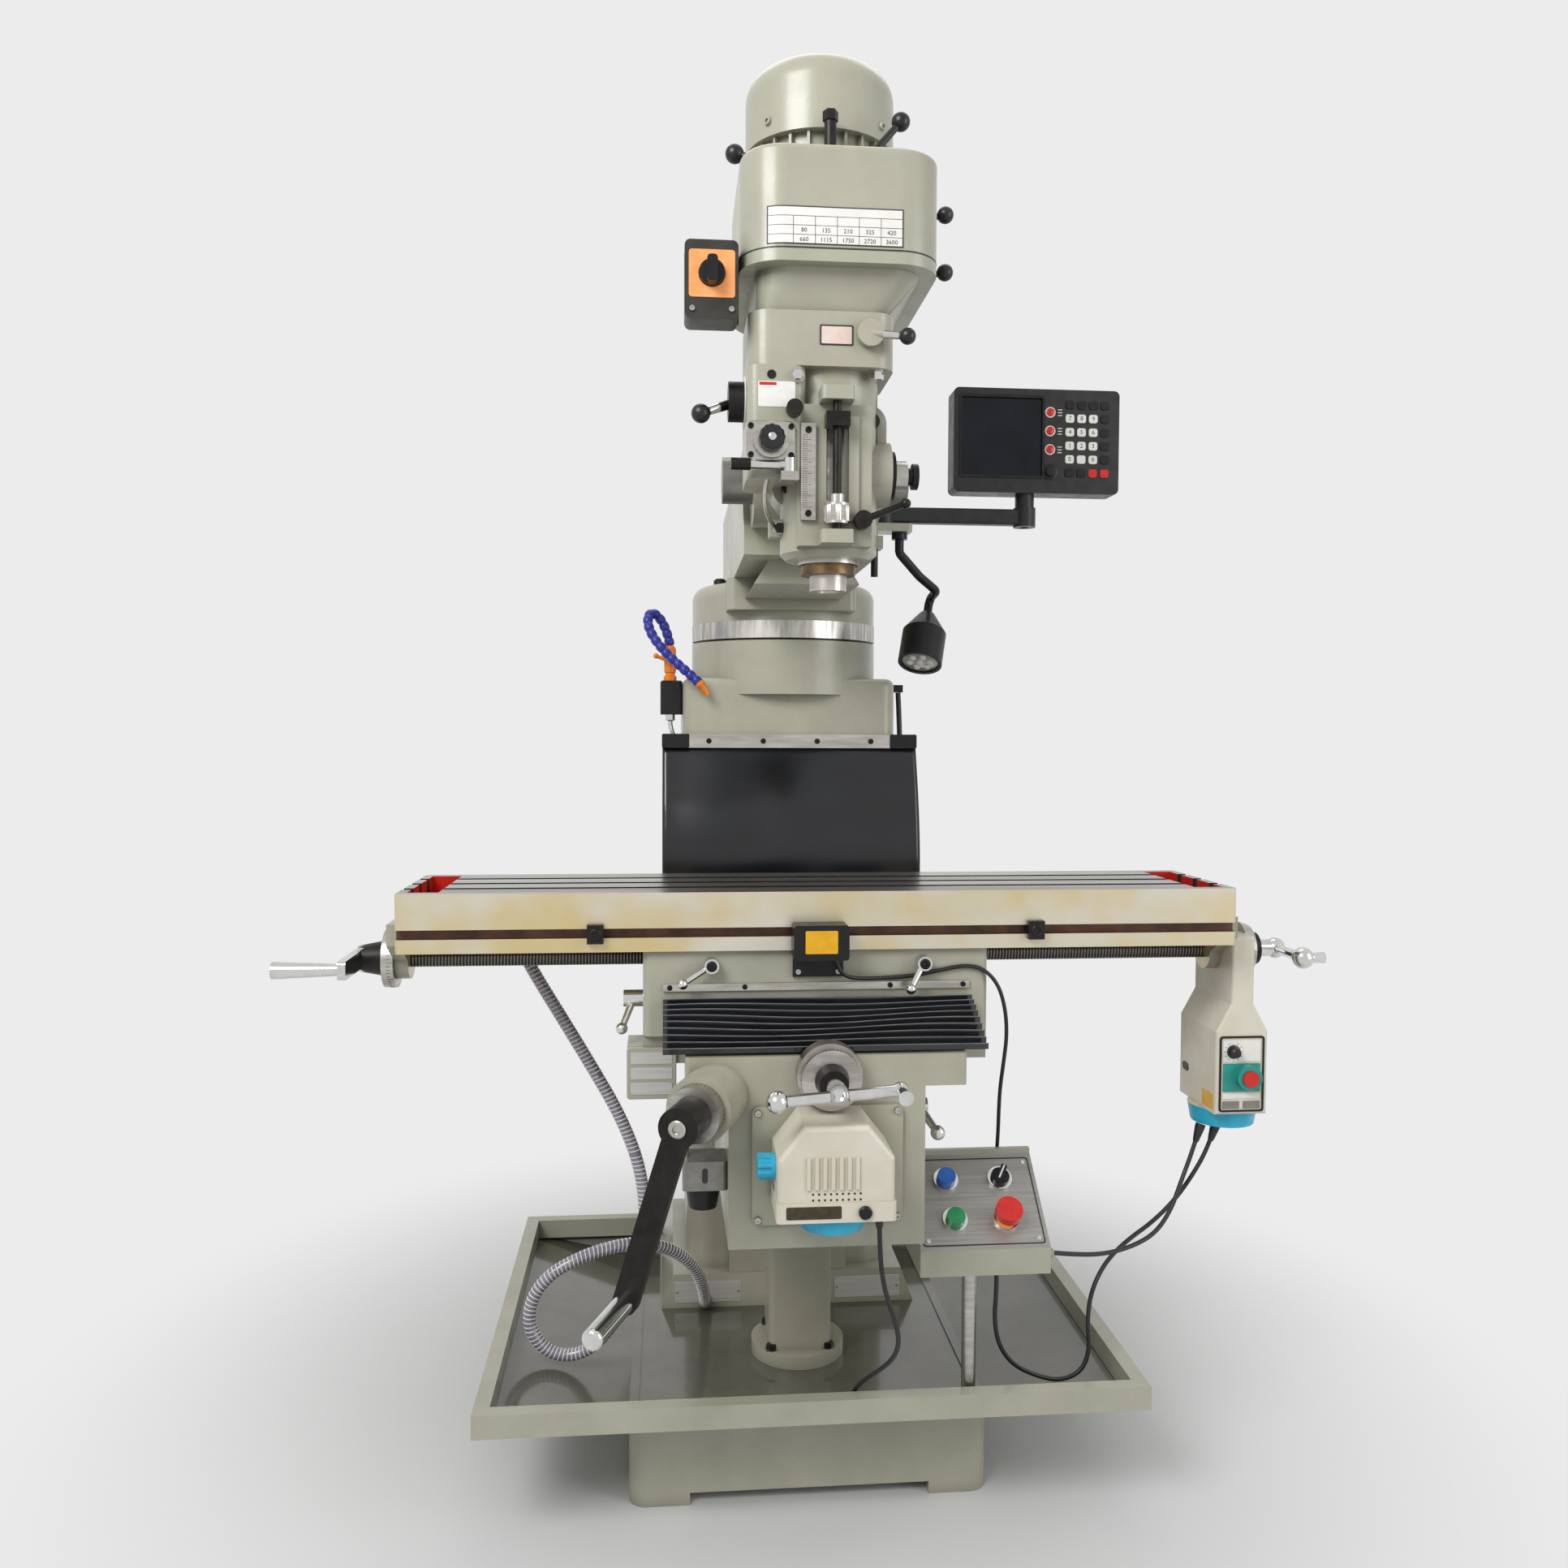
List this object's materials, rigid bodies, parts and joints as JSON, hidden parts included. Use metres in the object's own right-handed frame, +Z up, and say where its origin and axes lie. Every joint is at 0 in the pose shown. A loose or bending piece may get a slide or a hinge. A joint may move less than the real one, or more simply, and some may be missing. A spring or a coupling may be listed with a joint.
{
  "type": "turret milling machine",
  "caption": "Knee-type turret milling machine with a swivelling ram head, T-slotted table, power feeds, readout and work lamp on a cast column with a chip tray.",
  "frame": {"origin": "centre of the four floor bolts at the underside of the base", "axes": "+Z up, +X to the operator's right, +Y from the operator towards the column"},
  "size_m": [1.6106, 1.2441, 2.185],
  "materials": {
    "machine_paint": "gloss",
    "bare_steel": "satin",
    "chrome": "polished",
    "black_metal": "satin",
    "black_rubber": "satin",
    "cream_paint": "gloss",
    "dark_plastic": "satin",
    "grey_plastic": "satin",
    "red_plastic": "gloss",
    "green_plastic": "gloss",
    "blue_plastic": "gloss",
    "cyan_plastic": "gloss",
    "drain_hose_plastic": "gloss",
    "cable_rubber": "satin",
    "panel_grey": "satin"
  },
  "bodies": {
    "frame": {"base": "machine_paint", "chip_tray": "machine_paint", "column": "machine_paint", "way_guard": "black_rubber", "control_box": "panel_grey", "coolant_line": "blue_plastic", "drain_hose": "drain_hose_plastic", "switch_cable": "cable_rubber", "table_feed_cable_left": "cable_rubber", "table_feed_cable_right": "cable_rubber", "cross_feed_cable": "cable_rubber", "lamp_conduit": "cable_rubber"},
    "knee": {"knee": "machine_paint", "lubricator": "grey_plastic", "cross_feed_unit": "cream_paint"},
    "saddle": {"saddle": "machine_paint", "limit_switch": "dark_plastic", "front_bellows": "black_rubber"},
    "table": {"table": "bare_steel", "table_feed_unit": "cream_paint"},
    "ram": {"ram": "machine_paint", "work_lamp": "black_metal"},
    "head": {"head_housing": "machine_paint", "gear_housing": "machine_paint", "belt_housing": "machine_paint", "motor": "machine_paint", "drum_switch": "grey_plastic"},
    "jog_button": {"jog_button": "blue_plastic"},
    "start_button": {"start_button": "green_plastic"},
    "stop_button": {"stop_button": "red_plastic"},
    "selector": {"selector": "dark_plastic"},
    "coolant_tap": {"coolant_tap": "red_plastic"},
    "elevating_screw": {"elevating_screw": "bare_steel"},
    "knee_crank": {"knee_crank": "black_metal"},
    "knee_lock": {"knee_lock": "chrome"},
    "lubricator_pull": {"lubricator_pull": "dark_plastic"},
    "cross_feed_knob": {"cross_feed_knob": "cyan_plastic"},
    "cross_crank": {"cross_crank": "chrome"},
    "saddle_lock": {"saddle_lock": "chrome"},
    "table_lock_left": {"table_lock_left": "chrome"},
    "table_lock_right": {"table_lock_right": "chrome"},
    "table_screw": {"table_screw": "bare_steel"},
    "table_feed_button": {"table_feed_button": "red_plastic"},
    "turret": {"turret": "machine_paint"},
    "dro_arm": {"dro_arm": "black_metal"},
    "dro_console": {"dro_console": "grey_plastic"},
    "knuckle": {"knuckle": "machine_paint"},
    "switch_handle": {"switch_handle": "dark_plastic"},
    "brake_lever": {"brake_lever": "black_metal"},
    "clutch_lever": {"clutch_lever": "black_metal"},
    "motor_lock_upper": {"motor_lock_upper": "black_metal"},
    "motor_lock_lower": {"motor_lock_lower": "black_metal"},
    "hi_lo_lever": {"hi_lo_lever": "black_metal"},
    "feed_crank": {"feed_crank": "black_metal"},
    "trip_lever": {"trip_lever": "chrome"},
    "quill_lock": {"quill_lock": "black_metal"},
    "quill_hub": {"quill_hub": "black_metal"},
    "depth_nut": {"depth_nut": "bare_steel"},
    "quill": {"quill": "bare_steel"},
    "spindle": {"spindle": "bare_steel"}
  },
  "joints": [
    {"name": "knee_slide", "type": "slide", "parent": "frame", "child": "knee", "axis": [0, 0, 1], "range_m": [-0.05, 0.35], "deforming": ["way_guard", "switch_cable", "cross_feed_cable", "drain_hose"]},
    {"name": "elevating_screw_turn", "type": "hinge", "parent": "knee", "child": "elevating_screw", "pos_m": [0, -0.18, 0.6], "axis": [0, 0, 1], "continuous": true},
    {"name": "knee_crank_turn", "type": "hinge", "parent": "knee", "child": "knee_crank", "pos_m": [-0.16, -0.59, 0.705], "axis": [-0.342, -0.9397, 0], "continuous": true},
    {"name": "saddle_slide", "type": "slide", "parent": "knee", "child": "saddle", "axis": [0, 1, 0], "range_m": [-0.11, 0.15], "deforming": ["front_bellows"]},
    {"name": "cross_crank_turn", "type": "hinge", "parent": "knee", "child": "cross_crank", "pos_m": [0, -0.59, 0.737], "axis": [0, 1, 0], "continuous": true},
    {"name": "table_slide", "type": "slide", "parent": "saddle", "child": "table", "axis": [1, 0, 0], "range_m": [-0.27, 0.27], "deforming": ["table_feed_cable_left", "table_feed_cable_right"]},
    {"name": "table_screw_turn", "type": "hinge", "parent": "table", "child": "table_screw", "pos_m": [0.014, -0.343, 0.862], "axis": [1, 0, 0], "continuous": true},
    {"name": "table_feed_button_press", "type": "slide", "parent": "table", "child": "table_feed_button", "axis": [0, 1, 0], "range_m": [0, 0.004], "stiffness_N_per_m": 400, "springref_m": -0.002},
    {"name": "knee_lock_turn", "type": "hinge", "parent": "knee", "child": "knee_lock", "pos_m": [0.15, -0.47, 0.65], "axis": [1, 0, 0], "range_deg": [-20, 40]},
    {"name": "lubricator_pull_slide", "type": "slide", "parent": "knee", "child": "lubricator_pull", "axis": [0, 0, 1], "range_m": [0, 0.022], "stiffness_N_per_m": 300, "springref_m": -0.01},
    {"name": "cross_feed_knob_turn", "type": "hinge", "parent": "knee", "child": "cross_feed_knob", "pos_m": [-0.09, -0.642, 0.622], "axis": [1, 0, 0], "range_deg": [-135, 135]},
    {"name": "saddle_lock_turn", "type": "hinge", "parent": "saddle", "child": "saddle_lock", "pos_m": [-0.27, -0.4, 0.806], "axis": [1, 0, 0], "range_deg": [-25, 25]},
    {"name": "table_lock_left_turn", "type": "hinge", "parent": "saddle", "child": "table_lock_left", "pos_m": [-0.16, -0.465, 0.868], "axis": [0, 1, 0], "range_deg": [0, 45]},
    {"name": "table_lock_right_turn", "type": "hinge", "parent": "saddle", "child": "table_lock_right", "pos_m": [0.16, -0.465, 0.868], "axis": [0, 1, 0], "range_deg": [0, 45]},
    {"name": "jog_button_press", "type": "slide", "parent": "frame", "child": "jog_button", "axis": [0, 0.6513, -0.7588], "range_m": [0, 0.004], "stiffness_N_per_m": 400, "springref_m": -0.002},
    {"name": "selector_turn", "type": "hinge", "parent": "frame", "child": "selector", "pos_m": [0.28687, -0.4436, 0.52316], "axis": [0, -0.6513, 0.7588], "range_deg": [-45, 45]},
    {"name": "start_button_press", "type": "slide", "parent": "frame", "child": "start_button", "axis": [0, 0.6513, -0.7588], "range_m": [0, 0.004], "stiffness_N_per_m": 400, "springref_m": -0.002},
    {"name": "stop_button_press", "type": "slide", "parent": "frame", "child": "stop_button", "axis": [0, 0.6513, -0.7588], "range_m": [0, 0.004], "stiffness_N_per_m": 400, "springref_m": -0.002},
    {"name": "coolant_tap_turn", "type": "hinge", "parent": "frame", "child": "coolant_tap", "pos_m": [-0.221, 0.005, 1.344], "axis": [0, 1, 0], "range_deg": [0, 90]},
    {"name": "turret_swivel", "type": "hinge", "parent": "frame", "child": "turret", "pos_m": [0, 0.15, 1.419], "axis": [0, 0, 1], "range_deg": [-90, 90]},
    {"name": "ram_slide", "type": "slide", "parent": "turret", "child": "ram", "axis": [0, -1, 0], "range_m": [-0.36, 0.05]},
    {"name": "dro_arm_swing", "type": "hinge", "parent": "ram", "child": "dro_arm", "pos_m": [0.16, -0.07, 1.604], "axis": [0, 0, 1], "range_deg": [-30, 60]},
    {"name": "dro_console_turn", "type": "hinge", "parent": "dro_arm", "child": "dro_console", "pos_m": [0.419, -0.07, 1.604], "axis": [0, 0, 1], "range_deg": [-45, 45]},
    {"name": "nod", "type": "hinge", "parent": "ram", "child": "knuckle", "pos_m": [0, -0.38, 1.6], "axis": [1, 0, 0], "range_deg": [-45, 45]},
    {"name": "head_swivel", "type": "hinge", "parent": "knuckle", "child": "head", "pos_m": [0, -0.475, 1.6], "axis": [0, 1, 0], "range_deg": [-90, 90]},
    {"name": "quill_slide", "type": "slide", "parent": "head", "child": "quill", "axis": [0, 0, 1], "range_m": [-0.085, 0]},
    {"name": "spindle_turn", "type": "hinge", "parent": "quill", "child": "spindle", "pos_m": [0, -0.56, 1.5], "axis": [0, 0, 1], "continuous": true},
    {"name": "quill_hub_turn", "type": "hinge", "parent": "head", "child": "quill_hub", "pos_m": [0.09, -0.56, 1.576], "axis": [1, 0, 0], "continuous": true},
    {"name": "depth_nut_slide", "type": "slide", "parent": "head", "child": "depth_nut", "axis": [0, 0, 1], "range_m": [-0.007, 0.083]},
    {"name": "brake_lever_turn", "type": "hinge", "parent": "head", "child": "brake_lever", "pos_m": [-0.067, -0.58, 1.99], "axis": [0, 0, 1], "range_deg": [-20, 20]},
    {"name": "clutch_lever_turn", "type": "hinge", "parent": "head", "child": "clutch_lever", "pos_m": [0.039, -0.58, 1.99], "axis": [0, 0, 1], "range_deg": [-20, 20]},
    {"name": "motor_lock_upper_turn", "type": "hinge", "parent": "head", "child": "motor_lock_upper", "pos_m": [0.1473, -0.5, 1.96], "axis": [0, 0, 1], "range_deg": [-15, 15]},
    {"name": "motor_lock_lower_turn", "type": "hinge", "parent": "head", "child": "motor_lock_lower", "pos_m": [0.1473, -0.5, 1.878], "axis": [0, 0, 1], "range_deg": [-15, 15]},
    {"name": "hi_lo_lever_turn", "type": "hinge", "parent": "head", "child": "hi_lo_lever", "pos_m": [0.045, -0.645, 1.748], "axis": [0, 1, 0], "range_deg": [-30, 30]},
    {"name": "feed_crank_turn", "type": "hinge", "parent": "head", "child": "feed_crank", "pos_m": [-0.125, -0.58, 1.669], "axis": [1, 0, 0], "range_deg": [-40, 40]},
    {"name": "trip_lever_turn", "type": "hinge", "parent": "head", "child": "trip_lever", "pos_m": [-0.064, -0.654, 1.565], "axis": [0, 0, 1], "range_deg": [0, 25]},
    {"name": "quill_lock_turn", "type": "hinge", "parent": "head", "child": "quill_lock", "pos_m": [0.036, -0.645, 1.5], "axis": [0, 1, 0], "range_deg": [-30, 30]},
    {"name": "switch_handle_turn", "type": "hinge", "parent": "head", "child": "switch_handle", "pos_m": [-0.167, -0.655, 1.818], "axis": [0, 1, 0], "range_deg": [-45, 45]}
  ],
  "couplings": [
    {"joint": "elevating_screw_turn", "follows": "knee_slide", "rad_per_m": 1256.6},
    {"joint": "knee_crank_turn", "follows": "knee_slide", "rad_per_m": 2513.3},
    {"joint": "cross_crank_turn", "follows": "saddle_slide", "rad_per_m": 1256.6},
    {"joint": "table_screw_turn", "follows": "table_slide", "rad_per_m": 1256.6},
    {"joint": "quill_hub_turn", "follows": "quill_slide", "rad_per_m": 69.813}
  ]
}
